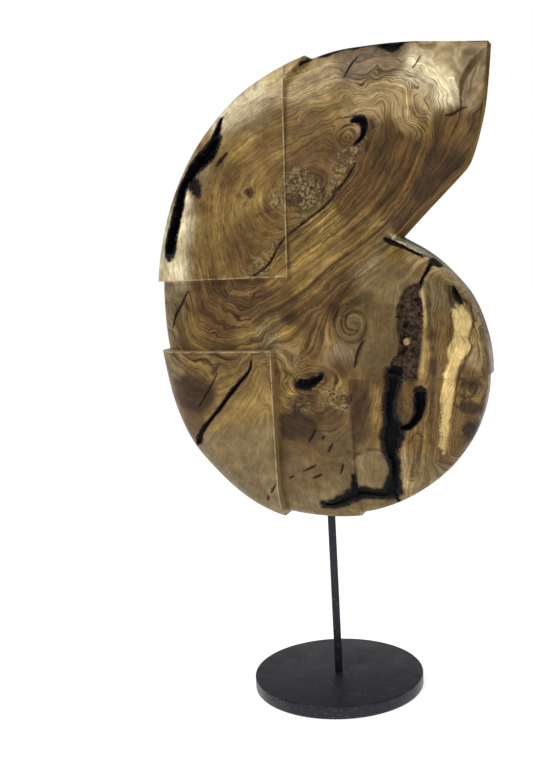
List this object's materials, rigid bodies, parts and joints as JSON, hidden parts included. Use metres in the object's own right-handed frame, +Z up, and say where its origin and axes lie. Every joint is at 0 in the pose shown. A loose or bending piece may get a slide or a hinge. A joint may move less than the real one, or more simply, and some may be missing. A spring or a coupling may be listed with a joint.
{
  "type": "carved wooden nautilus sculpture on a stand",
  "caption": "Nautilus carved from one lump of olive wood, its face cut into offset blocks, held up by a square steel bar on a round steel base.",
  "frame": {"origin": "middle of the round base's underside, on the surface the sculpture stands on", "axes": "+Z up, -Y out of the carved face, +X towards the shell's mouth"},
  "size_m": [0.3881, 0.2, 0.7303],
  "materials": {
    "olive_wood": "satin oiled olive wood with dark figure",
    "pale_peg": "pale waxed wood",
    "black_steel": "satin black paint"
  },
  "bodies": {
    "root": {"nautilus_body": "olive_wood", "pocket_peg": "pale_peg", "stand_bar": "black_steel", "stand_base": "black_steel"}
  },
  "joints": []
}
